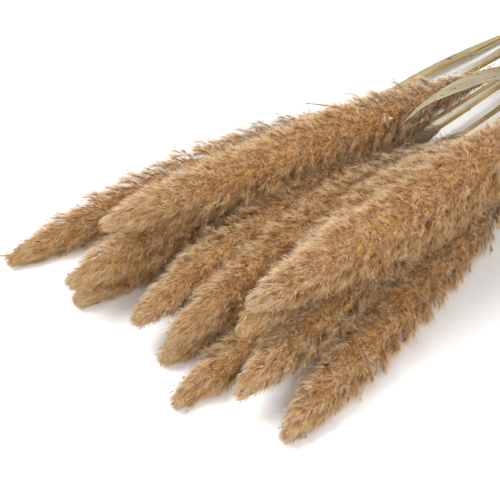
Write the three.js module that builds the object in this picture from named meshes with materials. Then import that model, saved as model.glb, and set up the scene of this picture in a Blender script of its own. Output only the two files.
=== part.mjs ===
// A bundle of dried pampas grass, lying on a table.
//
// Fourteen cut grasses are held by one twine binding. From the binding their straw stems fan out
// towards -X, and each stem ends in one soft, cat-tail shaped plume. The cut ends of the stems
// show on the +X side of the binding. The grasses lie in loose layers: each one is let down onto
// the table and onto the grasses that were laid before it.
//
// Units are millimetres, +Z is up and the table is the plane z = 0. The bundle is built with the
// middle of the binding at x = 0, and then moved so that the origin is under its middle.

import * as THREE from "three";

// ---- driving dimensions ----------------------------------------------------------------------

const clearance = 0.4; // left between any two pieces
const plumeLength = 255; // a full plume, from its lowest side shoots to its tip
const plumeRadius = 12.5; // of a full plume's dense body, at its widest
const stemRadius = 1.6; // of every straw stem
const buttLength = 80; // from the middle of the binding to the end of the longest stem
const buttSplay = 2.1; // how many times wider the cut ends spread than the bound stems
const bindingWidth = 24; // along the stems
const bindingThickness = 2.8; // of the wound twine
const leafWidth = 13;
const leafThickness = 0.9;
const tipDroop = 8; // how far a plume's or a leaf's tip may hang below what carries it

// ---- mesh fineness ---------------------------------------------------------------------------

const layingStep = 6; // between the stations that a grass is laid down by
const plumeSides = 10;
const plumeRings = 12;
const stemSides = 6;
const stemStep = 30;
const leafSteps = 14;
const cornerSegments = 3;

// ---- the grasses -----------------------------------------------------------------------------

// One list for each row of stems in the binding, from the lowest row up, in the order that the
// grasses are laid down.
//   column   the stem's place in its row, from the +Y side
//   reach    how far the plume's tip lies from the binding
//   start    sideways place of the plume's lowest shoots
//   side     sideways place of the plume's tip
//   bow      how far the plume's middle stands off the line from start to tip
//   length   share of plumeLength
//   girth    share of plumeRadius
//   rise     how far the tip springs up, over what it would rest on
const bindingRows = [
  [
    { column: 0, reach: 616, start: 34, side: 81, bow: 0, length: 0.98, girth: 0.98, rise: 0 },
    { column: 1, reach: 620, start: -14, side: 8, bow: 0, length: 0.98, girth: 0.96, rise: 0 },
    { column: 2, reach: 640, start: -40, side: -20, bow: 0, length: 1, girth: 0.94, rise: 0 },
    { column: 3, reach: 622, start: -59, side: -83, bow: 0, length: 1.06, girth: 1.06, rise: 0 },
  ],
  [
    { column: 0, reach: 614, start: 72, side: 138, bow: 0, length: 1, girth: 0.9, rise: 0 },
    { column: 2, reach: 572, start: 12, side: 34, bow: 0, length: 0.9, girth: 0.9, rise: 0 },
    { column: 1, reach: 624, start: 32, side: 75, bow: 0, length: 1, girth: 1.02, rise: 0 },
    { column: 3, reach: 620, start: 8, side: 28, bow: 0, length: 0.98, girth: 0.98, rise: 0 },
    { column: 4, reach: 624, start: -48, side: -52, bow: 0, length: 1, girth: 0.96, rise: 0 },
  ],
  [
    { column: 0, reach: 598, start: -2, side: 70, bow: -8, length: 1.16, girth: 1.04, rise: 10 },
    { column: 1, reach: 620, start: -18, side: 0, bow: 0, length: 1, girth: 0.98, rise: 0 },
    { column: 2, reach: 602, start: -40, side: -36, bow: 0, length: 0.94, girth: 0.92, rise: 0 },
    { column: 3, reach: 490, start: -54, side: -66, bow: 0, length: 0.86, girth: 0.9, rise: 0 },
  ],
  [
    { column: 0, reach: 602, start: -70, side: -42, bow: -10, length: 1.1, girth: 1.16, rise: 4 },
  ],
];

// Dry leaf blades that still lie on the stems, with the distances of their base and their tip from
// the binding, the sideways places of both, and their breadth as a share of leafWidth.
const leaves = [
  { from: 236, to: 408, start: -21, side: 0, breadth: 1 },
  { from: 190, to: 345, start: 44, side: 73, breadth: 0.6 },
  { from: 150, to: 300, start: 4, side: 20, breadth: 0.7 },
];

// ---- materials -------------------------------------------------------------------------------

const material = (color) => new THREE.MeshStandardMaterial({ color, roughness: 0.9, metalness: 0 });
const plumeMaterial = material(0xc79a63);
const stemMaterial = material(0xc9a763);
const leafMaterial = material(0xa99f86);
const twineMaterial = material(0x9a7b50);

// ---- where the stems sit in the binding ------------------------------------------------------

// The stems are packed like pipes: a pitch apart in each row, and each row in the dips of the row
// below. The binding goes under the lowest row and lies on the table.
const stemPitch = 2 * stemRadius + clearance;
const rowPitch = stemPitch * Math.sin(Math.PI / 3);
const lowestRow = bindingThickness + clearance + stemRadius;
const boundHalf = bindingWidth / 2 + 4; // the stems run straight and level for this much each way
const cutStagger = 0.22; // the shortest stem is cut this share shorter than the longest
const goldenShare = 0.618; // spreads the cut ends unevenly

const grasses = bindingRows.flatMap((row, rowIndex) =>
  row.map((grass) => ({
    ...grass,
    slotY: ((row.length - 1) / 2 - grass.column) * stemPitch,
    slotZ: lowestRow + rowIndex * rowPitch,
  })),
);

// ---- the shape of one grass ------------------------------------------------------------------

// A plume swells from a narrow base to its full radius and rounds off to its tip. The result is a
// share of the full radius, at a share t of the plume's length.
const widestAt = 0.42;
const baseShare = 0.3;
function plumeSwell(t) {
  if (t < widestAt) return 1 - (1 - baseShare) * (1 - t / widestAt) ** 2;
  return Math.sqrt(Math.max(0, 1 - ((t - widestAt) / (1 - widestAt)) ** 2.6));
}

const lengthOf = (grass) => grass.length * plumeLength;
const radiusOf = (grass) => grass.girth * plumeRadius;
const startOf = (grass) => grass.reach - lengthOf(grass);

// The grass's radius at a distance from the binding: the stem's, and then the plume's.
function thicknessAt(grass, distance) {
  if (distance < startOf(grass)) return stemRadius;
  const t = (distance - startOf(grass)) / lengthOf(grass);
  return Math.max(stemRadius, radiusOf(grass) * plumeSwell(Math.min(1, t)));
}

// A cubic from one place and slope to another, over a span.
function blend(span, from, slopeFrom, to, slopeTo, distance) {
  const t = distance / span;
  const rest = 1 - t;
  const ends = from * (1 + 2 * t) * rest * rest + to * (3 - 2 * t) * t * t;
  return ends + span * (slopeFrom * t * rest * rest - slopeTo * t * t * rest);
}

// The sideways place of the grass's middle line: fanned out of the binding, over to the plume's
// start, and then along the plume's shallow bow.
function sidewaysAt(grass, distance) {
  const chord = grass.side - grass.start;
  if (distance >= startOf(grass)) {
    const t = (distance - startOf(grass)) / lengthOf(grass);
    return grass.start + chord * t + 4 * grass.bow * t * (1 - t);
  }
  const slope = (chord + 4 * grass.bow) / lengthOf(grass);
  const span = startOf(grass) - boundHalf;
  const fan = (grass.start - grass.slotY) / span;
  return blend(span, grass.slotY, fan, grass.start, slope, distance - boundHalf);
}

// ---- letting a grass down onto the others ----------------------------------------------------

// The height that a round piece at (distance, sideways) needs to clear one that already lies
// there. A flat piece reaches halfWidth to each side.
function heightOver(laid, distance, sideways, radius, halfWidth) {
  let height = -Infinity;
  for (let i = 1; i < laid.length; i++) {
    const a = laid[i - 1];
    const b = laid[i];
    const reach = Math.max(a.radius, b.radius) + radius + clearance + halfWidth;
    if (Math.max(a.distance, b.distance) < distance - reach) continue;
    if (Math.min(a.distance, b.distance) > distance + reach) continue;
    const along = b.distance - a.distance;
    const across = b.sideways - a.sideways;
    const dot = (distance - a.distance) * along + (sideways - a.sideways) * across;
    const t = THREE.MathUtils.clamp(dot / (along * along + across * across), 0, 1);
    const awayAlong = distance - (a.distance + along * t);
    const awayAcross = sideways - (a.sideways + across * t);
    const away = Math.max(0, Math.hypot(awayAlong, awayAcross) - halfWidth);
    const apart = THREE.MathUtils.lerp(a.radius, b.radius, t) + radius + clearance;
    if (away >= apart) continue;
    const under = THREE.MathUtils.lerp(a.height, b.height, t);
    height = Math.max(height, under + Math.sqrt(apart * apart - away * away));
  }
  return height;
}

// A stiff stem hangs straight between the places that carry it: the taut line over the stations.
function stretchOver(stations) {
  const hull = [];
  for (const next of stations) {
    while (hull.length > 1) {
      const last = hull[hull.length - 1];
      const before = hull[hull.length - 2];
      const slopeToLast = (last.height - before.height) / (last.distance - before.distance);
      const slopeToNext = (next.height - before.height) / (next.distance - before.distance);
      if (slopeToLast > slopeToNext) break;
      hull.pop();
    }
    hull.push(next);
  }
  const carriers = new Set(hull);
  let i = 1;
  return stations.map((station) => {
    while (hull[i].distance < station.distance) i++;
    const a = hull[i - 1];
    const b = hull[i];
    const t = (station.distance - a.distance) / (b.distance - a.distance);
    const height = THREE.MathUtils.lerp(a.height, b.height, t);
    return { ...station, height, carried: carriers.has(station) };
  });
}

const alreadyLaid = [];
const pressedShare = 0.93; // a plume on the table sinks to this share of its radius
const tipShare = 0.5; // its tip stays this share of its full radius above the table

function layGrass(grass) {
  const count = Math.ceil((grass.reach - boundHalf) / layingStep);
  const stations = [];
  for (let i = 0; i <= count; i++) {
    const distance = THREE.MathUtils.lerp(boundHalf, grass.reach, i / count);
    const sideways = sidewaysAt(grass, distance);
    const radius = thicknessAt(grass, distance);
    const heights = alreadyLaid.map((laid) => heightOver(laid, distance, sideways, radius, 0));
    const tipHeight = distance > grass.reach - lengthOf(grass) / 2 ? tipShare * radiusOf(grass) : 0;
    const height = Math.max(pressedShare * radius, tipHeight, ...heights);
    stations.push({ distance, sideways, radius, height });
  }
  stations[0].height = grass.slotZ;
  const carried = Math.max(...stations.map((station) => station.height));
  const tip = stations[count];
  tip.height = Math.max(tip.height, carried - tipDroop) + grass.rise;
  const line = stretchOver(stations);
  alreadyLaid.push(line);
  return line;
}

// ---- pieces ----------------------------------------------------------------------------------

const bundle = new THREE.Group();
const up = new THREE.Vector3(0, 0, 1);

function addPiece(name, geometry, pieceMaterial) {
  const piece = new THREE.Mesh(geometry, pieceMaterial);
  piece.name = name;
  bundle.add(piece);
}

// The point on a laid line at a distance from the binding.
function pointAt(line, distance) {
  let i = 1;
  while (i < line.length - 1 && line[i].distance < distance) i++;
  const a = line[i - 1];
  const b = line[i];
  const t = (distance - a.distance) / (b.distance - a.distance);
  const sideways = THREE.MathUtils.lerp(a.sideways, b.sideways, t);
  return new THREE.Vector3(-distance, sideways, THREE.MathUtils.lerp(a.height, b.height, t));
}

// Carries each vertex, given as offsets across and over a laid line and a distance along it, to
// its place in the bundle. Nothing goes through the table.
function bendAlong(geometry, line, readVertex) {
  const position = geometry.getAttribute("position");
  const vertex = new THREE.Vector3();
  for (let i = 0; i < position.count; i++) {
    vertex.fromBufferAttribute(position, i);
    const { across, over, distance } = readVertex(vertex);
    const centre = pointAt(line, distance);
    const along = pointAt(line, distance + 1).sub(pointAt(line, distance - 1)).normalize();
    const side = new THREE.Vector3().crossVectors(along, up).normalize();
    const lift = new THREE.Vector3().crossVectors(side, along);
    centre.addScaledVector(side, across).addScaledVector(lift, over);
    position.setXYZ(i, centre.x, centre.y, Math.max(0, centre.z));
  }
  geometry.computeVertexNormals();
  return geometry;
}

// A plume is a turned spindle, closed at both ends and bent along its grass.
function plumeSolid(grass, line) {
  const profile = [new THREE.Vector2(0, 0)];
  for (let i = 0; i < plumeRings; i++) {
    const t = 1 - (1 - i / plumeRings) ** 1.15;
    profile.push(new THREE.Vector2(radiusOf(grass) * plumeSwell(t), t * lengthOf(grass)));
  }
  profile.push(new THREE.Vector2(0, lengthOf(grass)));
  const halfSide = Math.PI / plumeSides; // puts a flat side under the plume
  const spindle = new THREE.LatheGeometry(profile, plumeSides, halfSide);
  return bendAlong(spindle, line, (vertex) => ({
    across: vertex.x,
    over: vertex.z,
    distance: startOf(grass) + vertex.y,
  }));
}

// A path that runs straight from point to point, so that a tube along it has a ring at each one.
class PointPath extends THREE.Curve {
  constructor(points) {
    super();
    this.points = points;
  }

  getPoint(t) {
    const place = t * (this.points.length - 1);
    const i = Math.min(Math.floor(place), this.points.length - 2);
    return new THREE.Vector3().lerpVectors(this.points[i], this.points[i + 1], place - i);
  }

  getPointAt(u) {
    return this.getPoint(u);
  }

  getTangentAt(u) {
    return this.getTangent(u);
  }
}

// A stem is a tube from its cut end, through the binding, to just short of its plume. It has a
// ring where something carries it, and every stemStep between.
function stemSolid(grass, line, index) {
  const cutEnd = buttLength * (1 - cutStagger * ((index * goldenShare) % 1));
  const splay = 1 + ((buttSplay - 1) * (cutEnd - boundHalf)) / (buttLength - boundHalf);
  const cutHeight = stemRadius + (grass.slotZ - lowestRow) * splay;
  const points = [
    new THREE.Vector3(cutEnd, grass.slotY * splay, cutHeight),
    new THREE.Vector3(boundHalf, grass.slotY, grass.slotZ),
  ];
  const plumeEnd = startOf(grass) - clearance;
  let lastRing = -boundHalf;
  for (const station of line) {
    if (station.distance > plumeEnd - layingStep) break;
    if (!station.carried && station.distance - lastRing < stemStep) continue;
    points.push(new THREE.Vector3(-station.distance, station.sideways, station.height));
    lastRing = station.distance;
  }
  points.push(pointAt(line, plumeEnd));
  const section = new THREE.Shape();
  for (let side = 0; side < stemSides; side++) {
    const angle = (side / stemSides) * 2 * Math.PI;
    const corner = [stemRadius * Math.cos(angle), stemRadius * Math.sin(angle)];
    if (side === 0) section.moveTo(...corner);
    else section.lineTo(...corner);
  }
  return new THREE.ExtrudeGeometry(section, {
    steps: points.length - 1,
    bevelEnabled: false,
    extrudePath: new PointPath(points),
  });
}

const numbered = (name, index) => `${name}_${String(index + 1).padStart(2, "0")}`;

grasses.forEach((grass, index) => {
  const line = layGrass(grass);
  addPiece(numbered("plume", index), plumeSolid(grass, line), plumeMaterial);
  addPiece(numbered("stem", index), stemSolid(grass, line, index), stemMaterial);
});

// A leaf blade is a thin strip that tapers to a point, let down onto the finished bundle.
function layLeaf(leaf) {
  const stations = [];
  const count = Math.ceil((leaf.to - leaf.from) / layingStep);
  for (let i = 0; i <= count; i++) {
    const t = i / count;
    const distance = THREE.MathUtils.lerp(leaf.from, leaf.to, t);
    const sideways = THREE.MathUtils.lerp(leaf.start, leaf.side, t);
    const radius = leafThickness / 2;
    const halfWidth = (leafWidth / 2) * leaf.breadth * leafTaper(t);
    const over = (laid) => heightOver(laid, distance, sideways, radius, halfWidth);
    const height = Math.max(radius, ...alreadyLaid.map(over));
    stations.push({ distance, sideways, radius, height });
  }
  const carried = Math.max(...stations.map((station) => station.height));
  const tip = stations[count];
  tip.height = Math.max(tip.height, carried - tipDroop);
  const line = stretchOver(stations);
  alreadyLaid.push(line);
  return line;
}

function leafTaper(t) {
  return 0.45 + 0.55 * Math.sin(Math.PI * Math.min(1, t + 0.15)) - 0.4 * Math.max(0, t - 0.85) / 0.15;
}

function leafSolid(leaf, line) {
  const length = leaf.to - leaf.from;
  const width = leafWidth * leaf.breadth;
  const strip = new THREE.BoxGeometry(length, width, leafThickness, leafSteps, 1, 1);
  return bendAlong(strip, line, (vertex) => {
    const t = 0.5 - vertex.x / length;
    return { across: vertex.y * leafTaper(t), over: vertex.z, distance: leaf.from + t * length };
  });
}

leaves.forEach((leaf, index) => {
  addPiece(numbered("leaf", index), leafSolid(leaf, layLeaf(leaf)), leafMaterial);
});

// The binding is a band of wound twine, pulled tight round the outermost stems.
function bandOutline(corners, offset) {
  const outline = new THREE.Shape();
  corners.forEach((corner, i) => {
    const before = corners[(i + corners.length - 1) % corners.length];
    const after = corners[(i + 1) % corners.length];
    const from = Math.atan2(corner.y - before.y, corner.x - before.x) - Math.PI / 2;
    const to = Math.atan2(after.y - corner.y, after.x - corner.x) - Math.PI / 2;
    outline.absarc(corner.x, corner.y, offset, from, to, false);
  });
  return outline;
}

function bindingSolid() {
  const ends = bindingRows.map((row, rowIndex) => {
    const y = ((row.length - 1) / 2) * stemPitch;
    return new THREE.Vector2(y, lowestRow + rowIndex * rowPitch);
  });
  const mirrored = ends.map((end) => new THREE.Vector2(-end.x, end.y)).reverse();
  const corners = [...ends, ...mirrored];
  const inner = stemRadius + clearance;
  const band = bandOutline(corners, inner + bindingThickness);
  band.holes.push(new THREE.Path(bandOutline(corners, inner).getPoints(cornerSegments)));
  const solid = new THREE.ExtrudeGeometry(band, {
    depth: bindingWidth,
    bevelEnabled: false,
    curveSegments: cornerSegments,
  });
  solid.translate(0, 0, -bindingWidth / 2);
  const alongStems = new THREE.Matrix4().makeBasis(
    new THREE.Vector3(0, 1, 0),
    new THREE.Vector3(0, 0, 1),
    new THREE.Vector3(1, 0, 0),
  );
  return solid.applyMatrix4(alongStems);
}

addPiece("binding_twine", bindingSolid(), twineMaterial);

// ---- the part's own frame --------------------------------------------------------------------

const box = new THREE.Box3().setFromObject(bundle);
const middle = box.getCenter(new THREE.Vector3());
bundle.position.set(-middle.x, -middle.y, -box.min.z);

export default bundle;
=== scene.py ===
import math

import bpy
import numpy as np
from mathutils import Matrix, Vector


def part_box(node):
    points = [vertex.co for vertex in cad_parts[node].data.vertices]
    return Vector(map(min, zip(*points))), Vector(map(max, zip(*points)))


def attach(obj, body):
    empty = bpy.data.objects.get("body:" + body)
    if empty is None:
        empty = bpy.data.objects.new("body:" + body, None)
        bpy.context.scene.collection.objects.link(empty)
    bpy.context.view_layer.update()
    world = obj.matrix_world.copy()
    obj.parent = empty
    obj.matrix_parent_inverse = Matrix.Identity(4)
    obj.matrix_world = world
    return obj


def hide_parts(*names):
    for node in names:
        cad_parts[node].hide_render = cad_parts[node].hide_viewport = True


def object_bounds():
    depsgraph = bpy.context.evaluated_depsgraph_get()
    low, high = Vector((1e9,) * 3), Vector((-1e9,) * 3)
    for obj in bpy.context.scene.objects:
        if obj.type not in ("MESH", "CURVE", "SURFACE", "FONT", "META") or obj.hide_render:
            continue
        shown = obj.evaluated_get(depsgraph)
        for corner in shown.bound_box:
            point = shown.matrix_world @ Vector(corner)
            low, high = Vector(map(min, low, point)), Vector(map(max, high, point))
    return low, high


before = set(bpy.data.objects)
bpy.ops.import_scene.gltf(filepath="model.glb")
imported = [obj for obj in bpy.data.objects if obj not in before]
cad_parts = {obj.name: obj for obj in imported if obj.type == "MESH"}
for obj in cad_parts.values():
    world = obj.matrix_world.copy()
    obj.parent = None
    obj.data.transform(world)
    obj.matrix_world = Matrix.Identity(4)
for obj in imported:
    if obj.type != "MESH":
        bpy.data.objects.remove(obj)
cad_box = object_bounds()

MM = 0.001


# ---- The straw stems -------------------------------------------------------------------------
# Fourteen reed straws, each a hollow tube that grew in joints, with the foot of a leaf wrapped
# round the straw above most joints. They were cut by hand and hung up until dry and yellow.

straw_sides = 14
straw_step = 1.6 * MM
joint_every = 118 * MM
wall_share = 0.42  # of the radius, taken by the straw's wall
hollow_depth = 7 * MM


def rings_of(node, gap):
    """A node's corners, split wherever X falls by more than gap: one group for each of its
    rings, from the +X end on."""
    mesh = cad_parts[node].data
    corners = np.empty(len(mesh.vertices) * 3, np.float32)
    mesh.vertices.foreach_get("co", corners)
    corners = np.unique(corners.reshape(-1, 3).astype(float).round(6), axis=0)[::-1]
    breaks = np.flatnonzero(-np.diff(corners[:, 0]) > gap) + 1
    return np.split(corners, breaks)


def unit(vectors):
    """Each vector over its own length."""
    return vectors / np.linalg.norm(vectors, axis=-1, keepdims=True)


class Course:
    """A smooth line through points. Each span is the cubic that passes through both its points
    and leans, at each, along the chord of the points on either side. The line is then read
    again at even steps of its length. side lies across it and level, lift stands over it."""

    def __init__(self, points, step):
        before = 2 * points[0] - points[1]
        after = 2 * points[-1] - points[-2]
        ends = np.vstack([before, points, after])
        a, b, c, d = ends[:-3], ends[1:-2], ends[2:-1], ends[3:]
        t = np.linspace(0, 1, 16, endpoint=False)[:, None, None]
        cubic = (3 * b - a - 3 * c + d) * t**3
        square = (2 * a - 5 * b + 4 * c - d) * t**2
        spans = (2 * b + (c - a) * t + square + cubic) / 2
        fine = np.vstack([spans.transpose(1, 0, 2).reshape(-1, 3), points[-1:]])
        walked = np.append(0, np.cumsum(np.linalg.norm(np.diff(fine, axis=0), axis=1)))
        self.length = walked[-1]
        self.run = np.linspace(0, self.length, max(4, round(self.length / step)) + 1)
        self.centre = np.stack([np.interp(self.run, walked, fine[:, k]) for k in range(3)], 1)
        self.ahead = unit(np.gradient(self.centre, axis=0))
        self.side = unit(np.cross(self.ahead, [0.0, 0.0, 1.0]))
        self.lift = np.cross(self.side, self.ahead)

    def read(self, field, run):
        """One of the line's fields at any distances along it."""
        return np.stack([np.interp(run, self.run, field[:, k]) for k in range(3)], -1)

    def outward(self, run, angle):
        """The direction straight out of the line, at an angle from side towards lift."""
        side = self.read(self.side, run) * np.cos(angle)[..., None]
        return side + self.read(self.lift, run) * np.sin(angle)[..., None]


def tube(course, run, radius, sides):
    """A closed tube round a course. Ring i lies at run[i] and stands off by radius[i], or by
    radius[i, j] at side j; a pole in the middle of each end ring closes it. The grain gives
    each corner its place on the unrolled tube: across, over and along, in metres."""
    angle = np.linspace(0, 2 * math.pi, sides, endpoint=False)
    spread = np.broadcast_to(radius if np.ndim(radius) == 2 else radius[:, None], (len(run), sides))
    places = np.broadcast_to(run[:, None], spread.shape)
    around = np.broadcast_to(angle, spread.shape)
    grid = course.read(course.centre, places) + course.outward(places, around) * spread[..., None]
    poles = course.read(course.centre, run[[0, -1]])
    corners = np.vstack([grid.reshape(-1, 3), poles])
    grain = np.stack([spread * np.cos(around), spread * np.sin(around), places], -1)
    pole_grain = np.stack([np.zeros(2), np.zeros(2), run[[0, -1]]], -1)
    first = np.arange(len(run) - 1)[:, None] * sides + np.arange(sides)
    across = np.arange(len(run) - 1)[:, None] * sides + (np.arange(sides) + 1) % sides
    quads = np.stack([first, first + sides, across + sides, across], -1).reshape(-1, 4)
    ring, turned = np.arange(sides), (np.arange(sides) + 1) % sides
    last = (len(run) - 1) * sides
    pole = len(run) * sides
    near = np.stack([np.full(sides, pole), ring, turned], -1)
    far = np.stack([np.full(sides, pole + 1), turned + last, ring + last], -1)
    return corners, [quads, np.vstack([near, far])], np.vstack([grain.reshape(-1, 3), pole_grain])


def joined(shapes):
    """Several shapes as one: their corners and grains in one list, their faces moved up."""
    corners, faces, grain, start = [], [], [], 0
    for shape_corners, shape_faces, shape_grain in shapes:
        corners.append(shape_corners)
        grain.append(shape_grain)
        faces += [some + start for some in shape_faces]
        start += len(shape_corners)
    return np.vstack(corners), faces, np.vstack(grain)


def new_mesh(name, corners, faces, finish, grain=None, chart=None, smooth=True):
    """A mesh object from whole arrays. faces is a list of arrays, each with one row of corner
    numbers for each face. grain goes in an attribute, and chart gives each corner its UV."""
    mesh = bpy.data.meshes.new(name)
    loops = np.concatenate([some.ravel() for some in faces])
    sizes = np.concatenate([np.full(len(some), some.shape[1]) for some in faces])
    mesh.vertices.add(len(corners))
    mesh.vertices.foreach_set("co", corners.astype(np.float32).ravel())
    mesh.loops.add(len(loops))
    mesh.loops.foreach_set("vertex_index", loops.astype(np.int32))
    mesh.polygons.add(len(sizes))
    mesh.polygons.foreach_set("loop_start", (np.cumsum(sizes) - sizes).astype(np.int32))
    if grain is not None:
        held = mesh.attributes.new("grain", "FLOAT_VECTOR", "POINT")
        held.data.foreach_set("vector", grain.astype(np.float32).ravel())
    if chart is not None:
        held = mesh.uv_layers.new(name="OFBake")
        held.uv.foreach_set("vector", chart[loops].astype(np.float32).ravel())
    mesh.update(calc_edges=True)
    mesh.polygons.foreach_set("use_smooth", np.full(len(sizes), smooth))
    mesh.materials.append(finish)
    made = bpy.data.objects.new(name, mesh)
    bpy.context.scene.collection.objects.link(made)
    return made


class Wire:
    """One socket of a finish, on which sums can be written: each adds its Math node."""

    def __init__(self, finish, socket):
        self.finish = finish
        self.socket = socket

    def maths(self, operation, *values):
        return self.finish.node("ShaderNodeMath", {"operation": operation}, dict(enumerate(values)))

    def __add__(self, other):
        return self.maths("ADD", self, other)

    def __sub__(self, other):
        return self.maths("SUBTRACT", self, other)

    def __rsub__(self, other):
        return self.maths("SUBTRACT", other, self)

    def __mul__(self, other):
        return self.maths("MULTIPLY", self, other)

    def __truediv__(self, other):
        return self.maths("DIVIDE", self, other)

    def __pow__(self, other):
        return self.maths("POWER", self, other)

    __radd__ = __add__
    __rmul__ = __mul__

    def over(self, low, high):
        """0 below low and 1 above high, with a soft step between."""
        sockets = {"Value": self, "From Min": low, "From Max": high}
        return self.finish.node("ShaderNodeMapRange", {"interpolation_type": "SMOOTHSTEP"}, sockets)


class Finish:
    """A material under way, with its shader's own sockets set to what is the same all over."""

    def __init__(self, name, constants):
        self.material = bpy.data.materials.new(name)
        self.material.use_nodes = True
        self.tree = self.material.node_tree
        self.shader = self.tree.nodes["Principled BSDF"]
        for socket, value in constants.items():
            self.shader.inputs[socket].default_value = value

    def node(self, kind, settings=None, inputs=None, output=0):
        """Any node: its settings first, with a ramp's stops as (place, colour) pairs, then its
        inputs as values or wires. The result is the wire of one of its outputs."""
        made = self.tree.nodes.new(kind)
        settings = dict(settings or {})
        for place, colour in settings.pop("stops", []):
            stop = made.color_ramp.elements.new(place)
            stop.color = (*colour, 1)
        if kind == "ShaderNodeValToRGB":
            made.color_ramp.elements.remove(made.color_ramp.elements[0])
            made.color_ramp.elements.remove(made.color_ramp.elements[-1])
        for setting, value in settings.items():
            setattr(made, setting, value)
        for socket, value in (inputs or {}).items():
            self.feed(made.inputs[socket], value)
        return Wire(self, made.outputs[output])

    def feed(self, socket, value):
        if isinstance(value, Wire):
            self.tree.links.new(value.socket, socket)
        else:
            socket.default_value = value

    def mix(self, factor, first, second, blend_type="MIX"):
        """A colour between two colours."""
        sockets = {0: factor, 6: first, 7: second}
        settings = {"data_type": "RGBA", "blend_type": blend_type}
        return self.node("ShaderNodeMix", settings, sockets, output=2)

    def noise(self, vector, scale, detail=2.0, roughness=0.5):
        """Noise of about one blot for each step of 1 / scale, between 0 and 1."""
        sockets = {"Vector": vector, "Scale": scale, "Detail": detail, "Roughness": roughness}
        return self.node("ShaderNodeTexNoise", {}, sockets)

    def stretch(self, vector, factors):
        """A place scaled by its own factor in each direction."""
        return self.node("ShaderNodeVectorMath", {"operation": "MULTIPLY"}, {0: vector, 1: factors})

    def grain(self):
        return self.node("ShaderNodeAttribute", {"attribute_name": "grain"}, output=1)

    def apart(self, vector):
        """The three parts of a place."""
        split = self.tree.nodes.new("ShaderNodeSeparateXYZ")
        self.feed(split.inputs[0], vector)
        return [Wire(self, output) for output in split.outputs]

    def bump(self, height, strength, distance):
        sockets = {"Height": height, "Strength": strength, "Distance": distance}
        return self.node("ShaderNodeBump", {}, sockets)

    def done(self, **inputs):
        """Feeds the shader's sockets and gives the material."""
        for socket, value in inputs.items():
            self.feed(self.shader.inputs[socket.replace("_", " ")], value)
        return self.material


straw = Finish("dry_straw", {"Specular IOR Level": 0.42, "Sheen Weight": 0.08})
grain = straw.grain()
fibres = straw.noise(straw.stretch(grain, (1300, 1300, 16)), 1.0, 3.0, 0.6)
blots = straw.noise(straw.stretch(grain, (260, 260, 30)), 1.0, 3.0)
rim = straw.apart(grain)
out_from_axis = (rim[0] ** 2 + rim[1] ** 2) ** 0.5
sheathed = out_from_axis.over(1.70 * MM, 1.80 * MM)
body = straw.node("ShaderNodeValToRGB", {"stops": [
    (0.34, (0.10, 0.060, 0.020)),
    (0.44, (0.38, 0.245, 0.080)),
    (0.54, (0.56, 0.400, 0.150)),
    (0.72, (0.68, 0.530, 0.250)),
]}, {0: fibres * 0.6 + blots * 0.4})
cover = straw.node("ShaderNodeValToRGB", {"stops": [
    (0.34, (0.09, 0.065, 0.035)),
    (0.50, (0.36, 0.285, 0.160)),
    (0.70, (0.54, 0.460, 0.300)),
]}, {0: fibres * 0.7 + blots * 0.3})
straw_finish = straw.done(
    Base_Color=straw.mix(sheathed, body, cover),
    Roughness=0.42 + blots * 0.3,
    Normal=straw.bump(fibres, 0.35, 0.15 * MM),
)


def straw_tube(node, seed):
    """A straw: its radius swells by a sixth at each joint, over one step, and above the joint a
    leaf foot wraps it, a quarter of a millimetre thick, up to a slanting edge. The first rings
    turn in at the cut: down inside the wall and across, which leaves the end hollow."""
    draw = np.random.default_rng(seed)
    rings = rings_of(node, 2.2 * MM)
    centres = np.array([ring.mean(0) for ring in rings])
    radius = np.linalg.norm(rings[-1] - centres[-1], axis=1).max()
    course = Course(centres, straw_step)
    run = course.run[:, None]
    angle = np.linspace(0, 2 * math.pi, straw_sides, endpoint=False)
    spread = radius * (1 - 0.10 * run / course.length) * np.ones_like(angle)
    spread *= 1 + 0.015 * np.sin(3 * angle + 40 * run / joint_every)
    for place in np.arange(draw.uniform(0.2, 0.9) * joint_every, course.length, joint_every):
        spread += radius * 0.17 * np.exp(-(((run - place) / (1.3 * MM)) ** 2))
        wrapped = draw.uniform(0.45, 0.85) * joint_every
        slant = 9 * MM * np.cos(angle - draw.uniform(0, 2 * math.pi))
        up_the_wrap = (run - place) / wrapped
        inside = (up_the_wrap > 0) & (run < place + wrapped + slant)
        spread += 0.27 * MM * inside * (1 - 0.3 * up_the_wrap)
    hollow = radius * (1 - wall_share) * np.ones_like(angle)
    spread = np.vstack([hollow * 0.9, hollow, spread[:1] * 0.97, spread])
    along = np.concatenate([[hollow_depth, 0.0, 0.0], course.run])
    along[3] = 0.15 * MM
    return tube(course, along, spread, straw_sides)


for number in range(1, 15):
    node = f"stem_{number:02d}"
    corners, faces, grain = straw_tube(node, 300 + number)
    straw_piece = new_mesh(f"{node}_straw", corners, faces, straw_finish, grain)
    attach(straw_piece, "root")
    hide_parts(node)


# ---- The plumes ------------------------------------------------------------------------------
# Each straw carries on as the axis of one dense, cat-tail shaped plume. The axis is packed all
# round with short seed shoots, which hide it and hold up the silky hair.

core_share = 0.48  # of the plume's outer radius, packed with the feet of the shoots
fluff = 8.0 * MM  # how far the hair stands off the dense body
shoots_per_metre = 3550
shoot_hairs = 32
shoot_husks = 1
hair_limit = 1.20  # of the outer radius: no hair stands further out
highest_hair = cad_box[1].z + 12 * MM
on_the_table = 0.25 * MM  # the lowest that any hair lies
leaf_reach = 4 * MM  # to each side of a leaf blade's line, hair lies pressed flat
leaf_bed = 4.5 * MM  # the pressed hair under the tip of a leaf blade

# Each plume's tone, higher being paler. The plumes left out, most of which lie in the lower layer under and
# between the others, take the darker other tone: partly their own colour and partly painted shade.
plume_tone = {
    "plume_01": 0.40,
    "plume_04": 0.50,
    "plume_05": 0.32,
    "plume_07": 0.42,
    "plume_09": 0.52,
    "plume_10": 0.60,
    "plume_14": 0.64,
}
other_tone_and_shade = 0.32

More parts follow.
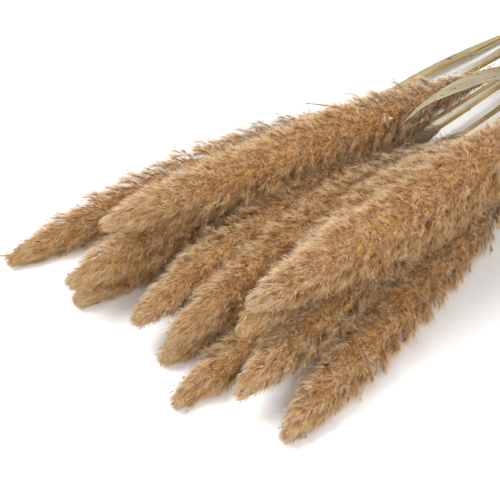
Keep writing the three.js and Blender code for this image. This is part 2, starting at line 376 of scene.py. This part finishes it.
# Single side shoots that stand free: how far along the plume, at what angle in degrees from its
# side towards its top, and how long in millimetres.
stray_shoots = {
    "plume_04": [(0.46, 172, 13), (0.14, 172, 12), (0.05, 175, 12)],
    "plume_05": [(0.0, 40, 20), (0.98, 100, 12)],
    "plume_14": [(0.88, 80, 12), (0.93, 120, 12)],
}

shoots = Finish("seed_shoots", {"Roughness": 0.85, "Sheen Weight": 0.25})
grain = shoots.grain()
packed = shoots.noise(shoots.stretch(grain, (700, 700, 330)), 1.0, 3.0, 0.65)
drift = shoots.noise(shoots.stretch(grain, (90, 90, 60)), 1.0, 2.0)
shoot_colour = shoots.node("ShaderNodeValToRGB", {"stops": [
    (0.28, (0.080, 0.028, 0.007)),
    (0.45, (0.270, 0.115, 0.027)),
    (0.58, (0.510, 0.275, 0.074)),
    (0.75, (0.660, 0.415, 0.150)),
]}, {0: packed * 0.7 + drift * 0.3})
shoots_finish = shoots.done(
    Base_Color=shoot_colour,
    Normal=shoots.bump(packed, 0.8, 1.5 * MM),
)

hair = Finish("silky_hair", {"Roughness": 0.7, "Sheen Weight": 0.12, "Sheen Roughness": 0.4,
                             "Specular IOR Level": 0.3})
chart = hair.node("ShaderNodeUVMap", {"uv_map": "OFBake"})
tint, up_the_hair, _ = hair.apart(chart)
is_hair = tint.over(0.205, 0.215)
# The hair's colour from root to tip, for warm, pale and weathered hair. The dark root stops are partly the
# hair's own colour and partly painted shade for the depth of the fur.
warm = hair.node("ShaderNodeValToRGB", {"stops": [
    (0.02, (0.095, 0.028, 0.005)),
    (0.20, (0.350, 0.135, 0.020)),
    (0.40, (0.585, 0.300, 0.066)),
    (0.62, (0.740, 0.490, 0.210)),
    (0.85, (0.830, 0.690, 0.500)),
]}, {0: up_the_hair})
pale = hair.node("ShaderNodeValToRGB", {"stops": [
    (0.02, (0.140, 0.045, 0.008)),
    (0.20, (0.460, 0.195, 0.034)),
    (0.40, (0.695, 0.395, 0.112)),
    (0.62, (0.830, 0.620, 0.370)),
    (0.85, (0.900, 0.830, 0.730)),
]}, {0: up_the_hair})
weathered = hair.node("ShaderNodeValToRGB", {"stops": [
    (0.02, (0.140, 0.075, 0.035)),
    (0.25, (0.370, 0.250, 0.140)),
    (0.55, (0.580, 0.455, 0.310)),
    (0.85, (0.760, 0.680, 0.560)),
]}, {0: up_the_hair})
strand_shade = hair.node("ShaderNodeTexNoise", {"noise_dimensions": "1D"},
                         {"W": tint, "Scale": 90.0, "Detail": 2.0})
strand_tint = hair.mix(strand_shade, (0.94, 0.88, 0.80, 1), (1.06, 0.99, 0.92, 1))
# The tint runs from warm to pale hair. It carries each hair's own tone together with its painted shade, set
# in plume_fur.
hair_colour = hair.mix(tint.over(0.22, 0.94), warm, pale)
hair_colour = hair.mix(tint.over(0.955, 0.965), hair_colour, weathered)
hair_colour = hair.mix(1.0, hair_colour, strand_tint, "MULTIPLY")
# The husks run from dark brown to pale straw. The palest are partly their own colour and partly painted
# glint, for husks that catch the light.
husk_colour = hair.node("ShaderNodeValToRGB", {"stops": [
    (0.00, (0.14, 0.055, 0.016)),
    (0.09, (0.40, 0.210, 0.065)),
    (0.14, (0.66, 0.440, 0.190)),
    (0.20, (0.86, 0.740, 0.500)),
]}, {0: tint})
hair_finish = hair.done(Base_Color=hair.mix(is_hair, husk_colour, hair_colour))


def plume_line(node):
    """A plume's middle line and, at each step along it, the radius of its dense body and the
    outer radius of its fluff, which is thin at the plume's foot and at its tip."""
    rings = rings_of(node, 4 * MM)
    centres = np.array([ring.mean(0) for ring in rings])
    dense = [np.linalg.norm(ring - centre, axis=1).max() for ring, centre in zip(rings, centres)]
    course = Course(centres, 2 * MM)
    walked = np.append(0, np.cumsum(np.linalg.norm(np.diff(centres, axis=0), axis=1)))
    walked *= course.length / walked[-1]
    dense[-1] = 0.25 * dense[-2]
    dense = np.interp(course.run, walked, dense)
    share = course.run / course.length
    stand = np.interp(share, [0, 0.10, 0.22, 0.40, 0.72, 1], [0.10, 0.30, 0.75, 1, 1, 0.25])
    return course, dense * np.interp(share, [0, 0.25], [0.72, 1]) + fluff * stand


def lumps(run, angle, draw, size):
    """A smooth unevenness, from -1 to 1 or so: eight waves of random slant over the plume's
    side, each about size long."""
    total = np.zeros(np.broadcast(run, angle).shape)
    for _ in range(8):
        turns = draw.integers(-4, 5)
        total += np.sin(turns * angle + run / size * draw.uniform(0.5, 1.5) * 6 + draw.uniform(0, 6.3))
    return total / 3


def plume_core(course, outer, draw):
    """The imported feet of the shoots: a tube round the plume's line, core_share of the outer
    radius thick, with lumps a seventh of that deep."""
    angle = np.linspace(0, 2 * math.pi, 26, endpoint=False)
    spread = core_share * outer[:, None] * (1 + 0.14 * lumps(course.run[:, None], angle, draw, 9 * MM))
    spread[-1] *= 0.3
    corners, faces, grain = tube(course, course.run, spread, 26)
    corners[:, 2] = np.maximum(corners[:, 2], on_the_table)
    return corners, faces, grain


def spikes(roots, tips, width, across):
    """Closed three-sided spikes: three corners round each root, a third of a turn apart and
    width across, and one at its tip."""
    ahead = unit(tips - roots)
    first = unit(np.cross(ahead, across))
    second = np.cross(ahead, first)
    turns = np.arange(3) * 2 * math.pi / 3
    ring = first[:, None] * np.cos(turns)[:, None] + second[:, None] * np.sin(turns)[:, None]
    base = roots[:, None] + ring * (width / 2)[:, None, None]
    corners = np.concatenate([base, tips[:, None]], 1)
    pattern = np.array([[0, 2, 1], [0, 1, 3], [1, 2, 3], [2, 0, 3]])
    faces = np.arange(len(roots))[:, None, None] * 4 + pattern
    return corners.reshape(-1, 3), faces.reshape(-1, 3)


def husks(roots, ahead, length, width, across):
    """Closed seed husks: a square ring a third of the way up, and a point at each end."""
    first = unit(np.cross(ahead, across))
    second = np.cross(ahead, first)
    turns = np.arange(4) * math.pi / 2
    ring = first[:, None] * np.cos(turns)[:, None] + second[:, None] * np.sin(turns)[:, None]
    middle = roots + ahead * (length * 0.35)[:, None]
    ends = np.stack([roots, roots + ahead * length[:, None]], 1)
    corners = np.concatenate([middle[:, None] + ring * (width / 2)[:, None, None], ends], 1)
    pattern = np.array([[4, 1, 0], [4, 2, 1], [4, 3, 2], [4, 0, 3],
                        [5, 0, 1], [5, 1, 2], [5, 2, 3], [5, 3, 0]])
    faces = np.arange(len(roots))[:, None, None] * 6 + pattern
    return corners.reshape(-1, 3), faces.reshape(-1, 3)


class Shoots:
    """The side shoots of a plume. Each leaves the plume's line a golden angle on from the last,
    climbs outwards and bends forward, so that its height over the line is a falling parabola of
    the way along it, as a share of the outer radius there."""

    def __init__(self, course, outer, draw):
        self.course = course
        self.outer = outer
        count = round(course.length * shoots_per_metre)
        order = (np.arange(count) + draw.uniform(0.2, 0.8, count)) / count
        self.start = (order * 1.02 - 0.05) * course.length
        self.angle = np.arange(count) * math.pi * (3 - math.sqrt(5)) + draw.normal(0, 0.10, count)
        length = np.interp(order, [0, 0.3, 0.8, 1], [11, 8, 8, 8]) * MM
        self.length = length * draw.uniform(0.75, 1.25, count)
        over = self.start + self.length - course.length - draw.uniform(-4, 3, count) * MM
        self.length = np.maximum(self.length - np.maximum(over, 0), 6 * MM)
        self.foot = draw.uniform(0.30, 0.50, count)
        bulge = lumps(self.start, self.angle, draw, 15 * MM)
        self.reach = draw.uniform(0.62, 0.78, count) + 0.16 * bulge
        self.long = draw.random(count) < 0.04
        self.length[self.long] *= 2.0
        self.reach[self.long] += 0.24
        self.twist = draw.normal(0, 0.14, count) + 0.14 * lumps(self.start, self.angle, draw, 30 * MM)
        # Painted shade between the lumps: a shoot that reaches less far out is darker, and one on a lump is
        # paler. The rest is each shoot's own tone, in random patches, and paler for the long shoots.
        self.tint = draw.normal(0, 0.05, count) + 0.10 * bulge
        self.tint += 0.13 * lumps(self.start, self.angle, draw, 26 * MM) + 0.30 * self.long
        self.weathered = draw.random(count) < np.interp(order, [0, 0.26, 0.42], [0.75, 0.50, 0])
        self.count = count

    def frame(self, which, share):
        """Where shoots stand at a share of their own length: on them, and straight out."""
        run = self.start[which] + self.length[which] * share
        inside = np.clip(run, 0, self.course.length)
        climb = 1 - (1 - share) ** 1.6
        climb = self.foot[which] + (self.reach[which] - self.foot[which]) * climb
        angle = self.angle[which] + self.twist[which] * share
        out = self.course.outward(inside, angle)
        beyond = self.course.read(self.course.ahead, inside) * (run - inside)[:, None]
        middle = self.course.read(self.course.centre, inside) + beyond
        return middle + out * (climb * np.interp(inside, self.course.run, self.outer))[:, None], out

    def ahead(self, which, share):
        return unit(self.frame(which, share + 0.03)[0] - self.frame(which, share - 0.03)[0])

    def held_in(self, tips):
        """Tips brought back to the hair's limit, and how far out they stand: the distance from
        the plume's line, as a share of the outer radius there."""
        steps = tips[:, None, :2] - self.course.centre[None, ::4, :2]
        nearest = self.course.run[::4][(steps**2).sum(-1).argmin(1)]
        middle = self.course.read(self.course.centre, nearest)
        radius = np.interp(nearest, self.course.run, self.outer)
        off = tips - middle
        far = np.linalg.norm(off, axis=1) / radius
        kept = np.minimum(1, hair_limit / far)
        return middle + off * kept[:, None], far * kept


def plume_fur(course, outer, draw, tone, strays):
    """The hair. Each side shoot is a small brush: its hairs stand off it all round but inwards,
    at about 32 degrees, and run from a dark root, partly painted shade, to a pale tip. Hair deep in
    the fur and hair whose shoot faces down are painted darker, as painted shade. Seed husks lie
    along the shoots. The stray shoots are bare stalks with husks in pairs."""
    shoots = Shoots(course, outer, draw)
    which = np.repeat(np.arange(shoots.count), shoot_hairs)
    count = len(which)
    share = draw.uniform(0.05, 1.0, count) ** 0.85
    roots, out = shoots.frame(which, share)
    ahead = shoots.ahead(which, share)
    across = unit(np.cross(out, ahead))
    turn = draw.uniform(-2.2, 2.2, count)
    lean = np.radians(draw.normal(32, 13, count) * np.where(shoots.long[which], 0.55, 1))
    to_the_tip = shoots.start[which] / course.length
    lean *= np.interp(to_the_tip, [0.80, 0.97], [1, 0.45])
    off = out * np.cos(turn)[:, None] + across * np.sin(turn)[:, None]
    way = unit(ahead * np.cos(lean)[:, None] + off * np.sin(lean)[:, None])
    at = np.clip(shoots.start[which] + shoots.length[which] * share, 0, course.length)
    size = np.interp(np.interp(at, course.run, outer), [4 * MM, 16 * MM], [0.5, 1])
    length = draw.triangular(5, 8.5, 12.5, count) * MM
    size *= np.interp(to_the_tip, [0.85, 1], [1, 1.7])
    tips, far = shoots.held_in(roots + way * (length * size)[:, None])
    width = draw.uniform(0.15, 0.26, count) * MM
    hair_corners, hair_faces = spikes(roots, tips, width, out)
    # Painted shade on the plume's underside: hair on a shoot that faces down gets a lower tone and a darker
    # tip.
    under = np.interp(out[:, 2] + draw.normal(0, 0.15, count), [-0.75, 0.15], [1, 0])
    shade = tone + shoots.tint[which] - 0.25 * under + draw.normal(0, 0.06, count)
    hair_tint = np.clip(0.22 + 0.72 * shade, 0.225, 0.94)
    hair_tint[shoots.weathered[which]] = 0.98
    # Painted shade in the depth of the fur: hair whose tip stands less far out gets a darker root and tip
    # on the hair ramps, and hair on a downward shoot gets a darker tip still.
    tip_place = np.interp(far, [0.42, 0.98], [0.40, 0.98]) - 0.26 * under
    root_place = np.interp(far, [0.35, 1.0], [0.02, 0.30])
    chart_width = 1 / 256
    hair_chart = np.stack([
        np.stack([hair_tint - chart_width, hair_tint, hair_tint + chart_width, hair_tint], 1),
        np.stack([root_place, root_place + 0.01, root_place, tip_place], 1),
    ], -1).reshape(-1, 2)

    husked = np.repeat(np.arange(shoots.count), shoot_husks)
    husk_share = draw.uniform(0.5, 1.0, len(husked))
    husk_roots, husk_out = shoots.frame(husked, husk_share)
    husk_off = draw.uniform(-0.5, 1.0, (len(husked), 1))
    husk_across = unit(np.cross(husk_out, shoots.ahead(husked, husk_share)))
    husk_away = unit(husk_out + husk_across * husk_off)
    husk_way = unit(shoots.ahead(husked, husk_share) + husk_away * draw.uniform(0.2, 0.6, (len(husked), 1)))
    husk_roots = husk_roots + husk_away * draw.uniform(0.5, 2.8, (len(husked), 1)) * MM
    husk_length = draw.uniform(2.4, 4.2, len(husked)) * MM
    husk_width = draw.uniform(0.45, 0.75, len(husked)) * MM
    husk_corners, husk_faces = husks(husk_roots, husk_way, husk_length, husk_width, husk_out)
    # Husk tints up to the palest straw, partly painted glint.
    husk_tint = draw.uniform(0.07, 0.19, len(husked))

    for place, degrees, stray_length in strays:
        beads = np.repeat(np.linspace(0.1, 1, stray_length), 2)
        angle = np.full(len(beads), math.radians(degrees))
        foot = np.full(len(beads), place * course.length)
        stray_out = course.outward(foot, angle)
        stray_way = course.read(course.ahead, foot) * 0.89 + stray_out * 0.45
        from_line = 0.6 * np.interp(foot, course.run, outer)[:, None]
        stray_root = course.read(course.centre, foot) + stray_out * from_line
        reached = (8 * MM + stray_length * MM) * beads
        bead_across = np.cross(stray_out, stray_way) * np.tile([1.0, -1.0], len(beads) // 2)[:, None]
        bead_roots = stray_root + stray_way * reached[:, None]
        bead_way = unit(stray_way + 0.45 * bead_across + draw.normal(0, 0.15, (len(beads), 3)))
        bead_size = np.interp(beads, [0, 1], [3.2, 2.2]) * MM
        shape = husks(bead_roots, bead_way, bead_size, bead_size * 0.3, stray_out)
        husk_faces = np.vstack([husk_faces, shape[1] + len(husk_corners)])
        husk_corners = np.vstack([husk_corners, shape[0]])
        husk_tint = np.append(husk_tint, draw.uniform(0.08, 0.17, len(beads)))
        shape = husks(stray_root[:1], stray_way[:1], reached[-1:], np.array([0.5 * MM]), stray_out[:1])
        husk_faces = np.vstack([husk_faces, shape[1] + len(husk_corners)])
        husk_corners = np.vstack([husk_corners, shape[0]])
        husk_tint = np.append(husk_tint, 0.08)
    husk_chart = np.stack([
        husk_tint[:, None] + np.array([-1, 0, 1, 0, 0, 0]) * chart_width,
        np.broadcast_to([0.3, 0.35, 0.3, 0.35, 0.02, 0.97], (len(husk_tint), 6)),
    ], -1).reshape(-1, 2)

    corners = np.vstack([hair_corners, husk_corners])
    press_flat(corners)
    corners[:, 2] = np.minimum(corners[:, 2], highest_hair)
    sunk = corners[:, 2] < on_the_table
    corners[sunk, 2] = on_the_table * draw.uniform(1, 2.4, sunk.sum())
    faces = [hair_faces, husk_faces + len(hair_corners)]
    return corners, faces, np.vstack([hair_chart, husk_chart])


leaf_lines = []
for number in range(1, 4):
    rings = rings_of(f"leaf_{number:02d}", 3.2 * MM)
    line = np.array([ring.mean(0) for ring in rings])
    line[:, 2] += leaf_bed * np.linspace(0, 1, len(line)) ** 0.5
    leaf_lines.append(line[::-1])


def press_flat(corners):
    """Nothing of a plume stands over a leaf blade that lies on it: within leaf_reach of the
    blade's line its height ends at the blade, and further out it rises again to its own."""
    for line in leaf_lines:
        beside = np.abs(corners[:, 1] - np.interp(corners[:, 0], line[:, 0], line[:, 1]))
        under = np.interp(corners[:, 0], line[:, 0], line[:, 2])
        beyond = np.maximum(0, line[0, 0] - corners[:, 0])
        most = under + np.maximum(0, beside - leaf_reach) + 0.7 * beyond
        pressed = (corners[:, 2] > most) & (corners[:, 2] < under + fluff)
        corners[pressed, 2] = most[pressed]


for number in range(1, 15):
    node = f"plume_{number:02d}"
    draw = np.random.default_rng(700 + number)
    course, outer = plume_line(node)
    corners, faces, grain = plume_core(course, outer, draw)
    core_piece = new_mesh(f"{node}_core", corners, faces, shoots_finish, grain)
    strays = stray_shoots.get(node, [])
    corners, faces, chart = plume_fur(course, outer, draw, plume_tone.get(node, other_tone_and_shade), strays)
    fur_piece = new_mesh(f"{node}_fur", corners, faces, hair_finish, chart=chart)
    for plume_piece in (core_piece, fur_piece):
        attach(plume_piece, "root")
        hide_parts(node)


# ---- The leaf blades -------------------------------------------------------------------------
# Three dry leaf blades that stayed on the stems: thin, ribbed straps with a keel along their
# middle, which fold a little and run out to a point. They grew on the straw and are loose there.

blade_ribs = 15
blade_thickness = 0.28 * MM
blade_spread = 1.15  # of the strip's width, where the dry halves have opened out

blade = Finish("dry_leaf", {"Specular IOR Level": 0.35, "Sheen Weight": 0.1})
grain = blade.grain()
veins = blade.noise(blade.stretch(grain, (1000, 500, 9)), 1.0, 3.0, 0.65)
specks = blade.noise(blade.stretch(grain, (520, 520, 200)), 1.0, 2.0, 0.5)
stain = blade.noise(blade.stretch(grain, (90, 90, 26)), 1.0, 3.0)
blade_colour = blade.node("ShaderNodeValToRGB", {"stops": [
    (0.32, (0.12, 0.085, 0.045)),
    (0.44, (0.31, 0.245, 0.145)),
    (0.54, (0.44, 0.370, 0.240)),
    (0.70, (0.56, 0.490, 0.350)),
]}, {0: veins * 0.65 + stain * 0.35})
blade_colour = blade.mix(specks.over(0.63, 0.68) * 0.85, blade_colour, (0.055, 0.035, 0.025, 1))
blade_finish = blade.done(
    Base_Color=blade_colour,
    Roughness=0.5 + stain * 0.35,
    Normal=blade.bump(veins, 0.5, 0.2 * MM),
)


def leaf_blade(node, line, seed):
    """A blade: a strap across its line, blade_spread wider than the node's own ring and running out
    to a point, with its two halves raised from the keel by a fold of a fifth of their width, ribs as
    a fine ripple, and an upper and a lower skin that meet along both edges."""
    draw = np.random.default_rng(seed)
    rings = rings_of(node, 3.2 * MM)
    centres = np.array([ring.mean(0) for ring in rings])
    course = Course(line[::-1], 2 * MM)
    walked = np.linspace(0, course.length, len(rings))
    level = [np.linalg.norm(ring[:, :2] - centre[:2], axis=1).max()
             for ring, centre in zip(rings, centres)]
    half = blade_spread * np.interp(course.run, walked, level)
    share = course.run / course.length
    half = half * np.minimum(1, ((1 - share) / 0.36 + 0.004) ** 0.7)
    place = np.linspace(-1, 1, blade_ribs)
    fold = (0.22 + 0.10 * np.sin(share * 7 + seed))[:, None] * np.abs(place)
    ripple = 0.02 * np.cos(place * math.pi * (blade_ribs - 1) / 2)
    ragged = 1 + 0.03 * draw.normal(0, 1, (len(half), 2)).repeat([1, 1], axis=1)
    edge = np.where(place < 0, ragged[:, :1], ragged[:, 1:])
    across = half[:, None] * place * edge
    over = half[:, None] * (fold + ripple - 0.12)
    thick = blade_thickness / 2 * np.sqrt(1 - place**2 * 0.98) * np.ones_like(over)
    side, lift = course.side[:, None], course.lift[:, None]
    middle = course.centre[:, None] + side * across[..., None] + lift * over[..., None]
    skins = [middle + lift * thick[..., None], middle - lift * thick[..., None]]
    rows = len(half)
    ring = np.concatenate([skins[0], skins[1][:, ::-1]], 1)
    corners = ring.reshape(-1, 3)
    corners[:, 2] = np.maximum(corners[:, 2], on_the_table)
    run = np.broadcast_to(course.run[:, None], across.shape)
    upper = np.stack([across, over, run], -1)
    grain = np.concatenate([upper, upper[:, ::-1]], 1).reshape(-1, 3)
    around = 2 * blade_ribs
    first = np.arange(rows - 1)[:, None] * around + np.arange(around)
    turned = np.arange(rows - 1)[:, None] * around + (np.arange(around) + 1) % around
    quads = np.stack([first, turned, turned + around, first + around], -1).reshape(-1, 4)
    ribs = np.arange(blade_ribs - 1)
    near = np.stack([ribs, around - 1 - ribs, around - 2 - ribs, ribs + 1], -1)
    far = near[:, ::-1] + (rows - 1) * around
    return corners, [quads, np.vstack([near, far])], grain


for number in range(1, 4):
    node = f"leaf_{number:02d}"
    corners, faces, grain = leaf_blade(node, leaf_lines[number - 1], 40 + number)
    blade_piece = new_mesh(f"{node}_blade", corners, faces, blade_finish, grain)
    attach(blade_piece, "root")
    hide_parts(node)


# ---- The twine binding -----------------------------------------------------------------------
# One length of two-ply jute twine, wound eight times round the straws and pulled tight. It is
# laid turn by turn, and its two ends are cut short.

twine_turns = 8.5
twine_radius = 1.25 * MM
ply_pitch = 7 * MM

jute = Finish("jute_twine", {"Roughness": 0.9, "Sheen Weight": 0.3})
grain = jute.grain()
fibre = jute.noise(jute.stretch(grain, (3000, 3000, 160)), 1.0, 3.0, 0.65)
worn = jute.noise(jute.stretch(grain, (100, 100, 60)), 1.0, 2.0)
jute_colour = jute.node("ShaderNodeValToRGB", {"stops": [
    (0.25, (0.13, 0.075, 0.030)),
    (0.48, (0.34, 0.215, 0.095)),
    (0.75, (0.55, 0.390, 0.205)),
]}, {0: fibre * 0.75 + worn * 0.25})
jute_finish = jute.done(Base_Color=jute_colour, Normal=jute.bump(fibre, 0.7, 0.3 * MM))


def band_radius(outline, angle):
    """How far a stretched band reaches from the middle in each direction: the nearest of the
    straight lines that touch the outline, over all the ways that such a line can face."""
    facing = np.linspace(0, 2 * math.pi, 180, endpoint=False)
    normals = np.stack([np.cos(facing), np.sin(facing)], 1)
    support = (outline @ normals.T).max(0)
    slant = np.cos(angle[:, None] - facing)
    return np.where(slant > 0.05, support / np.maximum(slant, 0.05), np.inf).min(1)


def twine(line, seed):
    """Two plies laid round each other: each a tube whose middle circles the line once in every
    ply_pitch, half a turn from the other."""
    course = Course(line, 0.9 * MM)
    shapes = []
    for half_turn in (0, math.pi):
        spin = 2 * math.pi * course.run / ply_pitch + half_turn
        middle = course.centre + course.outward(course.run, spin) * (0.52 * twine_radius)
        ply = Course(middle, 0.9 * MM)
        radius = np.full(len(ply.run), 0.56 * twine_radius)
        radius[[0, -1]] *= 0.6
        shapes.append(tube(ply, ply.run, radius, 8))
    return shapes


low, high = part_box("binding_twine")
binding_middle = np.array((low + high) / 2)
binding_corners = np.vstack(rings_of("binding_twine", 1 * MM))
outline = binding_corners[:, 1:] - binding_middle[1:]
turn = np.linspace(0, 2 * math.pi * twine_turns, 260)
stand_off = band_radius(outline, turn) - twine_radius
span = (high.x - low.x) - 2 * twine_radius
wound = binding_middle + np.stack([
    (turn / turn[-1] - 0.5) * span,
    np.cos(turn) * stand_off,
    np.sin(turn) * stand_off,
], 1)
corners, faces, grain = joined(twine(wound, 5))
twine_piece = new_mesh("binding_twine_wound", corners, faces, jute_finish, grain)
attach(twine_piece, "root")
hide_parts("binding_twine")


# ---- The table, the light and the camera -----------------------------------------------------
# A plain white table top runs back as far as the eye goes. Two wide soft lights hang over the
# plumes, one to the left and one on the near side, and the room is evenly bright.

table = Finish("white_table", {"Base Color": (0.93, 0.93, 0.93, 1), "Roughness": 0.9})
table_half = 6.0
table_grid = np.linspace(-table_half, table_half, 9)
table_x, table_y = np.meshgrid(table_grid, table_grid, indexing="ij")
table_corners = np.stack([table_x.ravel(), table_y.ravel(), np.full(81, -0.0002)], 1)
cell = (np.arange(8)[:, None] * 9 + np.arange(8)).ravel()
table_faces = np.stack([cell, cell + 9, cell + 10, cell + 1], 1)
table_top = new_mesh("table_top", table_corners, [table_faces], table.done())

room = bpy.data.worlds.new("room")
room.use_nodes = True
room.node_tree.nodes["Background"].inputs[0].default_value = (1, 1, 1, 1)
room.node_tree.nodes["Background"].inputs[1].default_value = 0.42
bpy.context.scene.world = room

bundle_middle = Vector(((cad_box[0].x + cad_box[1].x) / 2 - 0.1, 0.0, 0.03))


def soft_light(name, place, size, power):
    """A square light that faces the middle of the plumes."""
    lamp = bpy.data.lights.new(name, "AREA")
    lamp.size = size
    lamp.energy = power
    made = bpy.data.objects.new(name, lamp)
    made.location = bundle_middle + Vector(place)
    made.rotation_mode = "QUATERNION"
    made.rotation_quaternion = Vector(place).to_track_quat("Z", "Y")
    bpy.context.scene.collection.objects.link(made)


soft_light("left_light", (-0.60, 0.52, 1.20), 0.8, 18)
soft_light("near_light", (-0.80, -1.00, 0.95), 0.9, 14.5)

view_turn = math.radians(-50.6)
view_height = math.radians(40)
view_distance = 0.9
back = Vector((
    math.sin(view_turn) * math.cos(view_height),
    -math.cos(view_turn) * math.cos(view_height),
    math.sin(view_height),
))
looked_at = Vector((binding_middle[0] - 0.5258, binding_middle[1] + 0.0206, 0.02))
lens = bpy.data.cameras.new("camera")
lens.lens = 108
lens.sensor_width = 36
camera = bpy.data.objects.new("camera", lens)
camera.location = looked_at + back * view_distance
camera.rotation_mode = "QUATERNION"
camera.rotation_quaternion = back.to_track_quat("Z", "Y")
bpy.context.scene.collection.objects.link(camera)
bpy.context.scene.camera = camera
bpy.context.scene.view_settings.view_transform = "Standard"
